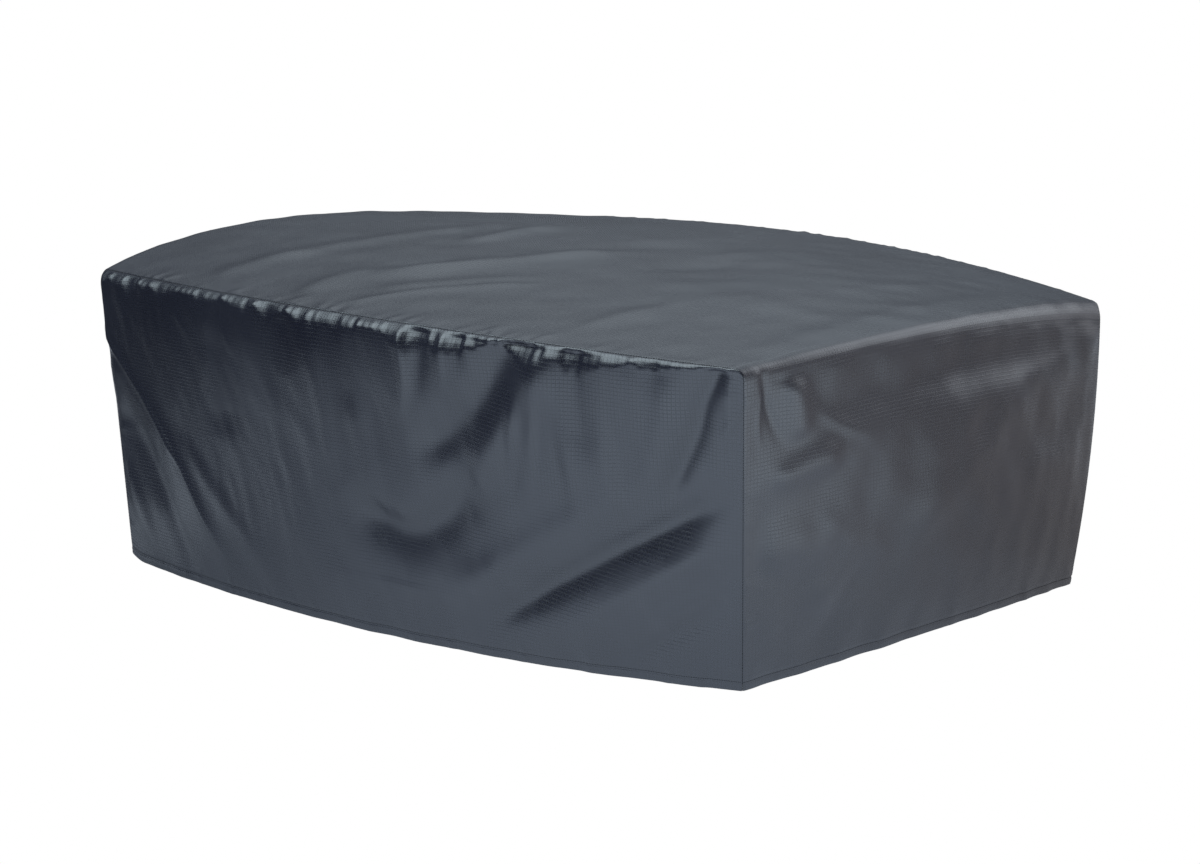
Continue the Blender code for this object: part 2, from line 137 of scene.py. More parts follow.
# -------- finer creases
# Height, half widths left and right of the run, how blunt its crest is, and the places it
# runs through: metres along and down, or x and y on the top. Left and right are those of a
# drawing with the first axis to the right and the second upward
Crease = namedtuple("Crease", "height left right blunt places")
SHARP, SOFT = 0.35, 1.8
CREASE_FADE = 0.16      # length over which each end of a crease fades
CREASE_SHARES = (0.15, 0.45)    # the least and greatest share of its length for that
CREASE_REACH = 4.0      # half widths beyond which a crease is left out
CREASE_CALM = 0.020     # a panel's creases fade out this close to a seam
LONG_RIDGE = (
    (-0.02, 0.113), (0.00, 0.145), (0.04, 0.205), (0.10, 0.265), (0.15, 0.315),
    (0.20, 0.365), (0.26, 0.43), (0.30, 0.48), (0.35, 0.53), (0.39, 0.585), (0.44, 0.65),
    (0.48, 0.70), (0.56, 0.80),
)
NEAR_CREASES = (
    # the long ridge and its fine crest, its two soft branches and a hollow
    Crease(0.0055, 0.012, 0.050, SHARP, LONG_RIDGE),
    Crease(0.0042, 0.0055, 0.0100, SHARP, LONG_RIDGE),
    Crease(0.0040, 0.020, 0.030, SOFT, ((0.38, 0.50), (0.46, 0.59), (0.56, 0.68), (0.70, 0.80))),
    Crease(0.0030, 0.018, 0.026, SOFT, ((0.24, 0.55), (0.34, 0.69), (0.47, 0.84))),
    Crease(-0.0045, 0.030, 0.024, SOFT, ((0.13, 0.44), (0.19, 0.56), (0.28, 0.68))),
    # the facet and the soft swell at the left edge
    Crease(0.0080, 0.034, 0.020, SOFT, ((0.01, 0.22), (0.03, 0.30), (0.05, 0.38), (0.07, 0.46))),
    Crease(0.0035, 0.022, 0.022, SOFT, ((0.03, 0.62), (0.09, 0.73), (0.14, 0.82))),
    # streaks under the top seam, and two soft ridges lower down
    Crease(0.0025, 0.010, 0.014, SHARP, ((0.39, 0.05), (0.43, 0.10), (0.49, 0.16))),
    Crease(0.0020, 0.010, 0.014, SHARP, ((0.61, 0.07), (0.64, 0.12), (0.68, 0.18))),
    Crease(0.0030, 0.018, 0.014, SOFT, ((0.78, 0.50), (0.77, 0.60), (0.76, 0.70))),
    Crease(0.0035, 0.030, 0.024, SOFT, ((1.00, 0.66), (1.06, 0.76), (1.10, 0.85))),
    # the two pleats under the seam and the hollow beside them
    Crease(0.0120, 0.018, 0.014, SHARP, (
        (1.31, -0.10), (1.32, -0.02), (1.335, 0.08), (1.33, 0.18), (1.29, 0.28))),
    Crease(0.0080, 0.014, 0.012, SHARP, (
        (1.45, -0.10), (1.455, -0.02), (1.46, 0.06), (1.455, 0.13), (1.43, 0.20))),
    Crease(-0.0070, 0.016, 0.016, SOFT, (
        (1.51, -0.10), (1.515, -0.01), (1.51, 0.08), (1.49, 0.16))),
    # the diagonal
    Crease(-0.0280, 0.036, 0.034, SOFT, (
        (1.74, -0.16), (1.71, -0.08), (1.68, -0.01), (1.64, 0.06), (1.60, 0.12), (1.555, 0.18),
        (1.50, 0.235), (1.44, 0.285), (1.38, 0.325), (1.30, 0.360))),
    # the pocket below the diagonal
    Crease(-0.0310, 0.036, 0.030, SOFT, (
        (1.08, 0.455), (1.13, 0.510), (1.19, 0.550), (1.26, 0.570), (1.33, 0.563), (1.40, 0.530),
        (1.46, 0.475), (1.52, 0.405), (1.58, 0.32))),
    # the slanting fold, its crests and the arcs beside it
    Crease(-0.0100, 0.034, 0.016, SOFT, (
        (2.30, 0.33), (2.20, 0.385), (2.10, 0.445), (1.98, 0.515), (1.88, 0.575))),
    Crease(-0.0080, 0.026, 0.016, SOFT, (
        (2.02, 0.495), (1.88, 0.580), (1.76, 0.655), (1.66, 0.725), (1.56, 0.80))),
    Crease(0.0060, 0.024, 0.018, SOFT, (
        (2.24, 0.455), (2.12, 0.535), (2.01, 0.605), (1.91, 0.670), (1.81, 0.735), (1.71, 0.80),
        (1.62, 0.87))),
    Crease(0.0060, 0.016, 0.018, SOFT, ((2.18, 0.36), (2.08, 0.41), (2.00, 0.46), (1.90, 0.53))),
    Crease(0.0065, 0.014, 0.018, SOFT, (
        (2.31, 0.60), (2.20, 0.62), (2.07, 0.69), (2.00, 0.75), (1.92, 0.84))),
    Crease(-0.0065, 0.016, 0.014, SOFT, (
        (2.31, 0.68), (2.22, 0.695), (2.13, 0.735), (2.05, 0.79), (1.98, 0.86))),
    Crease(0.0025, 0.016, 0.016, SOFT, (
        (1.84, 0.52), (1.74, 0.58), (1.62, 0.64), (1.50, 0.69), (1.38, 0.74))),
    Crease(0.0030, 0.012, 0.010, SHARP, ((2.31, 0.48), (2.25, 0.51), (2.19, 0.52))),
    # the corner crease and the facet beside it
    Crease(-0.0215, 0.017, 0.015, SOFT, (
        (2.29, -0.12), (2.25, -0.03), (2.22, 0.04), (2.195, 0.10), (2.18, 0.16), (2.16, 0.22),
        (2.13, 0.29), (2.10, 0.36), (2.07, 0.42))),
    Crease(0.0040, 0.014, 0.010, SHARP, ((2.31, 0.06), (2.29, 0.11), (2.25, 0.17), (2.22, 0.20))),
    # soft hollows under the seam, and a soft ridge at the middle of the panel
    Crease(-0.0110, 0.024, 0.018, SOFT, (
        (1.86, -0.14), (1.855, -0.02), (1.86, 0.12), (1.88, 0.26), (1.90, 0.36))),
    Crease(-0.0085, 0.020, 0.016, SOFT, (
        (1.72, 0.02), (1.71, 0.14), (1.69, 0.26), (1.67, 0.36), (1.63, 0.46))),
    Crease(-0.0040, 0.014, 0.014, SOFT, ((2.06, -0.10), (2.07, 0.02), (2.07, 0.14), (2.04, 0.26))),
    Crease(-0.0120, 0.018, 0.018, SOFT, (
        (1.39, -0.14), (1.39, -0.04), (1.385, 0.06), (1.375, 0.15), (1.36, 0.24))),
    Crease(0.0040, 0.024, 0.024, SOFT, ((0.90, 0.02), (0.93, 0.16), (0.96, 0.36), (0.97, 0.60))),
)
RIGHT_CREASES = (
    # the swell beside the near seam, the line that bounds it and two fine ridges
    Crease(0.0080, 0.018, 0.020, SOFT, (
        (0.12, 0.00), (0.145, 0.05), (0.18, 0.11), (0.19, 0.17), (0.17, 0.24))),
    Crease(-0.0075, 0.014, 0.012, SHARP, (
        (0.045, -0.04), (0.060, 0.04), (0.078, 0.12), (0.105, 0.19), (0.15, 0.25))),
    Crease(0.0040, 0.010, 0.008, SHARP, ((0.035, 0.00), (0.05, 0.08), (0.045, 0.16), (0.06, 0.26))),
    Crease(0.0070, 0.012, 0.028, SHARP, ((0.17, 0.10), (0.25, 0.165), (0.35, 0.225), (0.47, 0.28))),
    # the two swells below it, with their rounded right ends
    Crease(0.0050, 0.024, 0.018, SOFT, (
        (0.02, 0.32), (0.12, 0.285), (0.24, 0.262), (0.33, 0.270), (0.365, 0.31), (0.33, 0.37))),
    Crease(0.0080, 0.022, 0.030, SOFT, (
        (0.18, 0.38), (0.26, 0.44), (0.32, 0.51), (0.33, 0.57), (0.28, 0.64), (0.16, 0.70))),
    # the long fold from the far top corner, with a hollow and a ridge beside it
    Crease(0.0085, 0.050, 0.026, SOFT, (
        (1.60, 0.08), (1.40, 0.13), (1.20, 0.165), (1.05, 0.19), (0.88, 0.24), (0.77, 0.31),
        (0.72, 0.36), (0.68, 0.45), (0.65, 0.52), (0.58, 0.60))),
    Crease(-0.0060, 0.050, 0.050, SOFT, ((1.70, 0.22), (1.40, 0.30), (1.10, 0.33), (0.85, 0.42))),
    Crease(0.0050, 0.040, 0.040, SOFT, ((1.66, 0.44), (1.30, 0.43), (1.00, 0.47), (0.82, 0.58))),
    # two fine creases on the roll
    Crease(-0.0020, 0.008, 0.008, SHARP, ((0.25, -0.020), (0.80, -0.016), (1.40, -0.020))),
    Crease(0.0018, 0.007, 0.010, SHARP, ((1.02, 0.00), (1.07, 0.03), (1.11, 0.05))),
)
TOP_CREASES = (
    Crease(0.0060, 0.020, 0.030, SOFT, (
        (-0.29, -0.95), (-0.36, -0.66), (-0.22, -0.52), (-0.09, -0.32))),
    Crease(0.0055, 0.016, 0.026, SHARP, ((-0.14, -0.94), (-0.01, -0.69), (0.23, -0.44))),
    Crease(0.0050, 0.022, 0.030, SOFT, ((-0.69, -0.91), (-0.74, -0.65), (-0.69, -0.42))),
    Crease(0.0050, 0.030, 0.030, SOFT, ((-0.39, -0.12), (-0.43, 0.12), (-0.43, 0.36))),
    Crease(0.0060, 0.026, 0.034, SOFT, ((-0.26, -0.63), (-0.09, -0.32), (0.04, 0.07))),
    Crease(0.0050, 0.018, 0.026, SOFT, ((0.60, -0.88), (0.61, -0.66), (0.65, -0.38))),
    Crease(-0.0080, 0.080, 0.080, SOFT, ((-0.07, 0.29), (0.30, 0.07), (0.57, -0.18))),
    Crease(0.0080, 0.090, 0.070, SOFT, ((0.23, 0.46), (0.70, 0.02), (0.84, -0.50))),
    Crease(0.0050, 0.030, 0.022, SOFT, ((0.84, -0.10), (0.87, 0.05), (0.95, 0.45))),
    Crease(0.0050, 0.022, 0.026, SOFT, ((0.78, 1.01), (0.76, 0.73), (0.83, 0.32))),
)

# -------- seams and hem
# How far down the steep part under the near panel's top seam reaches, and how far the cloth
# still swells out below it: metres along the seam, metres
NEAR_SHOULDER = (
    (0.00, 0.030), (0.13, 0.024), (0.20, 0.046), (0.24, 0.024), (0.30, 0.010), (0.35, 0.042),
    (0.40, 0.020), (0.55, 0.017), (0.70, 0.021), (0.79, 0.028), (0.83, 0.038), (0.89, 0.020),
    (1.00, 0.026), (1.10, 0.030), (1.20, 0.022), (1.30, 0.030), (1.35, 0.046), (1.41, 0.026),
    (1.47, 0.048), (1.54, 0.030), (1.60, 0.019), (1.66, 0.034), (1.74, 0.048), (1.80, 0.028),
    (1.88, 0.036), (1.95, 0.020), (2.06, 0.016), (2.20, 0.012), (2.35, 0.010),
)
NEAR_SWELL = (
    (0.00, 0.015), (0.45, 0.016), (0.75, 0.013), (1.05, 0.011), (1.30, 0.010), (1.50, 0.013),
    (1.80, 0.016), (2.00, 0.009), (2.35, 0.003),
)
FAR_SHOULDER = ((0.00, 0.020), (0.60, 0.030), (1.10, 0.018), (1.60, 0.036), (2.35, 0.022))
FAR_SWELL = ((0.00, 0.005), (2.35, 0.006))
SHOULDER_REACH = 1.5    # the reach, as a multiple of the listed one
SHOULDER_WAVES = ((0.13, 0.034, 3), (0.20, 0.09, 23))   # share of it, length, seed step
SHOULDER_LIMITS = (0.4, 1.7)    # how far these waves may change it
SHOULDER_HEIGHT = 0.75  # the height, as a multiple of the listed reach
REACH_BLUR = 0.015      # the listed reach is averaged over this length to each side,
HEIGHT_BLUR = 0.20      # and over this one for the height
SHOULDER_SLOPE = ((0.0, 1.0), (1.0, 1.0), (2.2, 1.15))  # how steep the cloth leaves the seam
SHOULDER_FADE = 0.28    # how far down the shoulder and the swell fade out
SHOULDER_CALM = 0.040   # the shoulder starts this far from the corner seams
SWELL_REACH = 0.10
SEAM_PULL_BACK = 0.00003    # each sheet stops this far short of the seam, along itself
GROOVE = 0.0020         # how deep a seam's stitches pull the cloth in
GROOVE_WIDTH = 0.0018
GROOVE_START = 0.020    # a corner seam's groove starts over this length from the top seam

HEM_BAND = 0.024        # from the hem's edge up to its stitches
HEM_BAND_EDGE = 0.006   # the band's relief starts over this length
HEM_RAISE = 0.0004      # the band stands out by this
HEM_GROOVE = 0.0014
HEM_GROOVE_WIDTH = 0.0035
HEM_LAYERS = 0.0010     # the turned layers thicken the hem inward by this,
HEM_LAYERS_TOP = 0.025  # up to here
HEM_LAYERS_EDGE = 0.002
HEM_LIFT = 0.017        # how far the hem is drawn up at the near left corner
HEM_LIFT_REACH = 0.08
END_HEM_LENGTH = 2.1    # length over which the gathers of an end's hem are drawn

Pucker = namedtuple("Pucker", "spacing start reach height half_width")
SEAM_PUCKER = Pucker(0.022, 0.012, 0.034, 0.0019, 0.0085)
TOP_PUCKER = Pucker(0.030, 0.006, 0.034, 0.0018, 0.0080)
CORNER_PUCKER = Pucker(0.045, 0.006, 0.040, 0.0018, 0.0080)
HEM_PUCKER = Pucker(0.034, 0.004, 0.016, 0.0012, 0.0080)

# How strong the gathers are: metres along the seam and the share there
NEAR_GATHERS = (
    (0.0, 1.5), (0.25, 1.3), (0.5, 0.8), (0.9, 0.9), (1.1, 1.4), (1.6, 1.3),
    (1.75, 1.0), (2.0, 0.5), (2.35, 0.4),
)
FAR_GATHERS = ((0.0, 0.9), (0.6, 0.6), (1.2, 1.1), (1.7, 0.7), (2.35, 1.0))
STRIP_GATHERS = (
    (0.0, 0.5), (0.88, 0.5), (0.92, 1.3), (1.5, 1.0), (2.0, 1.5), (2.6, 1.4),
    (3.0, 0.6), (3.5, 0.5), (4.1, 0.6),
)
CORNER_GATHERS = ((0.0, 0.6), (0.9, 1.0))

# Slight unevenness of cloth that was folded in its bag: broad, small and crisp waves
CRUMPLE_HEIGHTS = (0.0012, 0.00018, 0.0005)
CRUMPLE_LENGTHS = (0.20, 0.07, 0.18)
TOP_CRUMPLE = 0.6       # the share of it on the top,
TOP_START, TOP_END = 0.86, 3.20     # which lies between these places along the strip
PANEL_CRUMPLE = 1.2     # and on the side panels, where it slants and is stretched downward
PANEL_SLANT = 0.3
PANEL_STRETCH = (1.2, 0.5)

STITCH_PITCH = 0.0045
STITCH_LENGTH = 0.0032
STITCH_RADIUS = 0.00065
STITCH_SINK = 0.3       # how deep its ends lie and how high its middle, in radii
STITCH_BODY = 0.22      # its thick part reaches this share of its length to each side
STITCH_RING = ((0.0, 1.0), (1.0, 0.35), (0.0, -1.0), (-1.0, 0.35))
HEM_STITCH_LIFT = 0.0002
SEAM_STITCH_LIFT = 0.0004

# The CAD node that each sheet stands for
NODES = {"top": "top_and_ends", "near": "near_side", "far": "far_side"}

# -------- cloth and thread
RIPSTOP_PITCH = 0.010
RIPSTOP_YARN = (0.0004, 0.0016)     # from a thick yarn's middle: its full part and its edge
WEAVE_REPEAT = 0.0013
CLOTH_DARK = (0.0105, 0.0110, 0.0200, 1.0)
CLOTH_LIGHT = (0.0165, 0.0175, 0.0280, 1.0)
YARN_COLOUR = (0.006, 0.007, 0.011, 1.0)
YARN_SHARE = 0.45
BLOTCH_RANGE = (0.3, 0.7)           # the part of the noise that tone and gloss follow
CLOTH_ROUGHNESS = (0.24, 0.29)
YARN_ROUGHNESS = 0.08
SHEEN_TINT = (0.75, 0.85, 1.0, 1.0)
YARN_HEIGHT = 0.00016
WEAVE_HEIGHT = 0.00003
GRAIN_HEIGHT = 0.00005
THREAD_DARK = (0.002, 0.002, 0.003, 1.0)
THREAD_LIGHT = (0.008, 0.008, 0.011, 1.0)

# -------- picture
LENS = 60.0
SENSOR = 36.0
CAMERA_PLACE = (3.681, -4.506, 0.866)
CAMERA_PITCH = 13.613   # degrees below the horizon
CAMERA_YAW = 39.176
FLOOR_HEIGHT = -1.080
FLOOR_RADIUS = 7.0
FLOOR_GLOW = (0.030, 0.033, 0.038)
AMBIENT = (0.020, 0.021, 0.024)

# Pools of light on the floor: centre, radius where full, radius where it ends, colour
POOLS = (
    ((1.75, -3.2), 0.8, 4.9, (1.12, 1.31, 1.54)),  # in front
    ((-1.9, -1.5), 0.1, 0.8, (0.80, 0.92, 1.05)),  # at the left corner
    ((3.45, -0.2), 0.4, 2.0, (1.10, 1.28, 1.42)),  # right
    ((3.4, 1.9), 1.0, 4.0, (0.34, 0.32, 0.32)),    # right, behind
    ((-0.9, 4.3), 0.8, 3.4, (0.60, 0.66, 0.74)),   # behind
    ((-4.4, 0.7), 0.6, 2.6, (0.60, 0.66, 0.74)),   # left
)

# Soft lights far around: direction, cosine where it ends and where it is full, colour
GLOWS = (
    ((-0.375, 0.600, 0.707), 0.82, 0.966, (0.70, 0.79, 0.85)),  # behind, for the top
    ((-0.571, 0.816, 0.087), 0.82, 0.985, (0.08, 0.09, 0.10)),  # behind, low
    ((-0.265, -0.459, 0.848), 0.77, 0.91, (2.70, 3.20, 3.45)),  # high in front, left
    ((0.440, 0.765, 0.470), 0.835, 0.96, (1.35, 1.46, 1.57)),   # behind, for the roll
    ((0.640, 0.768, 0.050), 0.50, 0.90, (0.46, 0.46, 0.49)),    # right, behind, low
    ((0.0, 0.0, 1.0), 0.5, 1.0, (0.35, 0.38, 0.41)),            # overhead
)


# -------- edges of the form
def hump(t):
    """0 at both ends of a run, 1 in its middle."""
    return 4.0 * t * (1.0 - t)


def smooth(t):
    """Soft step from 0 to 1."""
    t = np.clip(t, 0.0, 1.0)
    return t * t * (3.0 - 2.0 * t)


def between(first, second, t):
    """Points from first to second at the fractions t."""
    return np.asarray(first) * (1.0 - t) + np.asarray(second) * t


def unit(vectors):
    """Vectors of the same directions and the length 1."""
    return vectors / np.linalg.norm(vectors, axis=-1, keepdims=True)


def column(t):
    """Fractions as a column, so that they scale rows of points."""
    return np.atleast_1d(np.asarray(t, dtype=float))[:, None]


def top_edge(side, t):
    """Edge of the top along one side, before the roll rounds it."""
    run = SIDES[side]
    t = column(t)
    swell = np.append(np.multiply(run.outward, run.bow), run.rise)
    return between(TOP_CORNERS[run.first], TOP_CORNERS[run.second], t) + hump(t) * swell


def lean(side, t):
    """Where the hem stands from the top's edge, in plan."""
    run = SIDES[side]
    t = column(t)
    corners = between(HEM_CORNERS[run.first].lean, HEM_CORNERS[run.second].lean, t)
    return corners + hump(t) * np.multiply(run.outward, run.hem_bow)


def belly(side, t):
    """How far the cloth stands out of the straight line down to the hem, in plan."""
    run = SIDES[side]
    t = column(t)
    corners = between(HEM_CORNERS[run.first].belly, HEM_CORNERS[run.second].belly, t)
    return corners + hump(t) * np.multiply(run.outward, run.belly)


def hanging(side, t, down):
    """Points of the cloth that hangs on one side, at fractions of its drop."""
    sideways = lean(side, t)
    down = column(down)
    fall = np.sqrt(DROP ** 2 - (sideways ** 2).sum(axis=1, keepdims=True))
    plan = sideways * down + belly(side, t) * hump(down)
    return top_edge(side, t) + np.hstack([plan, -fall * down])


def top_surface(u, w):
    """The top, spanned between its four edges: u from left to right, w from near to far."""
    u, w = np.broadcast_arrays(np.atleast_1d(u).astype(float), np.atleast_1d(w).astype(float))
    across, along = column(w), column(u)
    long_sides = between(top_edge("near", u), top_edge("far", u), across)
    short_sides = between(top_edge("left", w), top_edge("right", w), along)
    near = between(TOP_CORNERS["near_left"], TOP_CORNERS["near_right"], along)
    far = between(TOP_CORNERS["far_left"], TOP_CORNERS["far_right"], along)
    return long_sides + short_sides - between(near, far, across)


# -------- grids of the form
def graded(length, first, cell, last, growth):
    """Fractions of a length whose cells grow from both its ends toward its middle."""
    x = np.linspace(0.0, length, GRADING_STEPS + 1)
    size = np.minimum(cell, np.minimum(first + growth * x, last + growth * (length - x)))
    steps = np.concatenate([[0.0], np.cumsum(np.diff(x) / (0.5 * (size[1:] + size[:-1])))])
    count = int(np.ceil(steps[-1]))
    return np.interp(np.linspace(0.0, steps[-1], count + 1), steps, x) / length


DROP_RUN = 0.85         # rough lengths of the runs that the grids are graded for
LONG_RUN = 2.25
STRIP_WIDTH = 2.0

# Fractions of each end's drop from its hem, cells of a roll, and fractions of the top
Lines = namedtuple("Lines", "left roll top right")
STRIP_LINES = Lines(
    left=graded(DROP_RUN, 0.005, 0.020, 0.008, 0.08),
    roll=8,
    top=graded(LONG_RUN, 0.0076, 0.0100, 0.0076, 0.08),
    right=graded(DROP_RUN, 0.004, 0.0115, 0.007, 0.08),
)
STRIP_ACROSS = graded(STRIP_WIDTH, 0.0018, 0.020, 0.004, 0.09)
NEAR_DOWN = graded(DROP_RUN, 0.0025, 0.0094, 0.0018, 0.06)
NEAR_TOP = graded(LONG_RUN, 0.0018, 0.0064, 0.0018, 0.10)
FAR_DOWN = graded(DROP_RUN, 0.004, 0.014, 0.004, 0.08)
FAR_TOP = graded(LONG_RUN, 0.005, 0.0090, 0.005, 0.10)

# What sets each side panel apart: its place across the strip (0 near, 1 far), the strip's
# column of points there, the panel's lines, and its relief
Look = namedtuple("Look", "place column lines seed folds creases shoulder swell gathers")
LOOKS = {
    "near": Look(0.0, 0, Lines(NEAR_DOWN, 20, NEAR_TOP, NEAR_DOWN), 31, NEAR_FOLDS,
                 NEAR_CREASES, NEAR_SHOULDER, NEAR_SWELL, NEAR_GATHERS),
    "far": Look(1.0, -1, Lines(FAR_DOWN, 12, FAR_TOP, FAR_DOWN), 51, FAR_FOLDS,
                (), FAR_SHOULDER, FAR_SWELL, FAR_GATHERS),
}


def arc(points):
    """Length along a line of points, from its start."""
    steps = np.linalg.norm(np.diff(points, axis=0), axis=1)
    return np.concatenate([[0.0], np.cumsum(steps)])


def roll_size(w):
    """Size of the soft corner at one place across the strip."""
    return ROLL_NEAR + (ROLL_FAR - ROLL_NEAR) * w


def lifted(away):
    """Fraction of the drop where the hem is, so far away from the near left corner."""
    share = np.clip(1.0 - away / HEM_LIFT_REACH, 0.0, 1.0)
    return 1.0 - HEM_LIFT / DROP * share ** 2


def end_run(side, w, fractions):
    """One end of the strip at one place: from its hem up to where the roll starts."""
    lowest = lifted(w * STRIP_WIDTH) if side == "left" else 1.0
    down = lowest - fractions * (lowest - roll_size(w) / DROP)
    return hanging(side, np.full(down.size, w), down)


def roll(start, corner, finish, cells):
    """Soft corner between two runs, without its first and last points."""
    t = column(np.linspace(0.0, 1.0, cells + 1)[1:-1])
    return start * (1 - t) ** 2 + 2 * corner * t * (1 - t) + finish * t ** 2


def strip_line(w, lines):
    """One line along the strip: left hem, left end, top, right end, right hem."""
    left_edge, right_edge = top_edge("left", w)[0], top_edge("right", w)[0]
    inset = roll_size(w) / np.linalg.norm(right_edge - left_edge)
    left_end = end_run("left", w, lines.left)
    right_end = end_run("right", w, lines.right)
    top = top_surface(inset + (1.0 - 2.0 * inset) * lines.top, w)
    return np.vstack([
        left_end,
        roll(left_end[-1], left_edge, top[0], lines.roll),
        top,
        roll(top[-1], right_edge, right_end[-1], lines.roll),
        right_end[::-1],
    ])


def split_seam(side, seam):
    """Left corner, top and right corner of a panel's seam, both corners from the top down."""
    lines = LOOKS[side].lines
    turn = lines.left.size - 1 + lines.roll // 2
    return seam[turn::-1], seam[turn:-turn], seam[-turn - 1:]


def rim(values):
    """A panel's seam edge, from the left hem over the top to the right hem."""
    return np.vstack([values[:, 0][::-1], values[0, 1:-1], values[:, -1]])


def panel_form(side, seam):
    """Form of a side panel, with its places: rows down from the seam, columns left to right."""
    left, top, right = split_seam(side, seam)
    u = (arc(top) / arc(top)[-1])[None, :, None]
    v = (arc(left) / arc(left)[-1])[:, None, None]
    lowest = lifted(arc(top)) if side == "near" else np.ones(u.shape[1])
    hem = hanging(side, u[0, :, 0], lowest)
    hem = hem + between(left[-1] - hem[0], right[-1] - hem[-1], u[0])
    grid = between(top[None], hem[None], v)
    straight_left = between(top[0], hem[0], v)
    straight_right = between(top[-1], hem[-1], v)
    grid = grid + between(left[:, None] - straight_left, right[:, None] - straight_right, u)
    outward = np.append(SIDES[side].outward, 0.0)
    grid = grid + outward * (SIDES[side].belly * hump(u) * hump(v))
    width = np.linalg.norm(top[-1] - top[0])
    return grid, u[..., 0] * width, v[..., 0] * DROP


def facing(grid, direction):
    """Unit normals of a grid of points, on the side that looks along a direction."""
    n = unit(np.cross(np.gradient(grid, axis=0), np.gradient(grid, axis=1)))
    return n * np.sign((n[n.shape[0] // 2, n.shape[1] // 2] * direction).sum())


# -------- relief
def calm(distance):
    """Keeps folds off a seam: 0 at it, 1 from SEAM_CALM on."""
    return smooth(distance / SEAM_CALM)


def fold_relief(folds, along, down):
    """Height of all the folds of one panel at the places given."""
    relief = np.zeros(np.broadcast(along, down).shape)
    for from_along, from_down, to_along, to_down, height, half_width in folds:
        run = np.array((to_along - from_along, to_down - from_down))
        length = np.hypot(*run)
        run = run / length
        x, y = along - from_along, down - from_down
        forward = (x * run[0] + y * run[1]) / length
        aside = x * run[1] - y * run[0]
        fade_in = smooth(forward / FOLD_FADE + 0.5)
        fade = fade_in * smooth((1.0 - forward) / FOLD_FADE + 0.5)
        relief = relief + height * fade * np.exp(-(aside / half_width) ** 2)
    return relief


def curve_through(places, steps=6):
    """Smooth line through the places given."""
    p = np.asarray(places, dtype=float)
    p = np.vstack([2 * p[0] - p[1], p, 2 * p[-1] - p[-2]])
    t = np.linspace(0.0, 1.0, steps, endpoint=False)[:, None]
    parts = []
    for a, b, c, d in zip(p[:-3], p[1:-2], p[2:-1], p[3:]):
        bend = (2 * a - 5 * b + 4 * c - d) * t ** 2 + (3 * b - a - 3 * c + d) * t ** 3
        parts.append(0.5 * (2 * b + (c - a) * t + bend))
    return np.vstack(parts + [p[-2:-1]])


def nearest_on_line(line, x, y):
    """Distance to a line, the side of it (below 0: left) and the length run to there."""
    best = np.full(x.shape, np.inf)
    aside, forward = np.zeros(x.shape), np.zeros(x.shape)
    for (x0, y0), (x1, y1), start in zip(line[:-1], line[1:], arc(line)):
        size = np.hypot(x1 - x0, y1 - y0)
        dx, dy = (x1 - x0) / size, (y1 - y0) / size
        t = np.clip((x - x0) * dx + (y - y0) * dy, 0.0, size)
        away = np.hypot(x - x0 - dx * t, y - y0 - dy * t)
        side = (x - x0) * dy - (y - y0) * dx
        closer = away < best
        best = np.where(closer, away, best)
        aside = np.where(closer, side, aside)
        forward = np.where(closer, start + t, forward)
    return best, aside, forward


def crease_relief(creases, along, down):
    """Height of the finer creases, each highest along the middle of its run."""
    along, down = np.broadcast_arrays(along, down)
    relief = np.zeros(along.shape)
    for crease in creases:
        line = curve_through(crease.places)
        reach = CREASE_REACH * max(crease.left, crease.right)
        low, high = line.min(axis=0) - reach, line.max(axis=0) + reach
        near = (along > low[0]) & (along < high[0]) & (down > low[1]) & (down < high[1])
        away, aside, forward = nearest_on_line(line, along[near], down[near])
        width = np.where(aside < 0, crease.left, crease.right)
        tip = crease.blunt * width
        profile = np.exp(-(np.sqrt(away ** 2 + tip ** 2) - tip) / width)
        length = arc(line)[-1]
        forward = forward / length
        ends = np.clip(CREASE_FADE / length, *CREASE_SHARES)
        fade = smooth(forward / ends) * smooth((1.0 - forward) / ends)
        relief[near] += crease.height * fade * profile
    return relief


def pucker_relief(seed, style, along, distance, strength):
    """Small gathers that stand square to a seam and die out away from it.

    strength says how strong they are: places along the seam and the share there.
    """
    rng = np.random.default_rng(seed)
    along, distance = np.broadcast_arrays(along, distance)
    relief = np.zeros(along.shape)
    places, shares = np.transpose(strength)
    at = places[0]
    while at < places[-1]:
        at += style.spacing * rng.uniform(0.3, 1.9)
        size = rng.uniform(0.25, 1.3) ** 2
        height = style.height * size * np.interp(at, places, shares)
        reach = style.reach * (0.5 + size)
        half_width = style.half_width * rng.uniform(0.7, 1.7)
        slant = rng.normal(0.0, 0.30)
        near = (np.abs(along - at) < 0.10) & (distance < 3.0 * reach)
        d = distance[near]
        aside = along[near] - at - slant * d
        width = half_width + 0.16 * d
        rise = 1.0 - np.exp(-(d / style.start) ** 2)
        relief[near] += height * rise * np.exp(-(aside / width) ** 2 - (d / reach) ** 2)
    return relief


def waves(seed, x, y, length, count=20):
    """Smooth random waves of about that length and a height of about 1."""
    rng = np.random.default_rng(seed)
    total = np.zeros(np.broadcast(x, y).shape)
    for _ in range(count):
        angle, phase = rng.uniform(0.0, 2.0 * np.pi, 2)
        k = 2.0 * np.pi / (length * rng.uniform(0.7, 1.5))
        total = total + np.cos(k * (x * np.cos(angle) + y * np.sin(angle)) + phase)
    return total / np.sqrt(0.5 * count)


def crumple(seed, x, y):
    """Slight unevenness of cloth that was folded in its bag."""
    found = [waves(seed + k, x, y, length) for k, length in enumerate(CRUMPLE_LENGTHS)]
    found[2] = 1.0 - np.abs(found[2])
    return sum(height * wave for height, wave in zip(CRUMPLE_HEIGHTS, found))


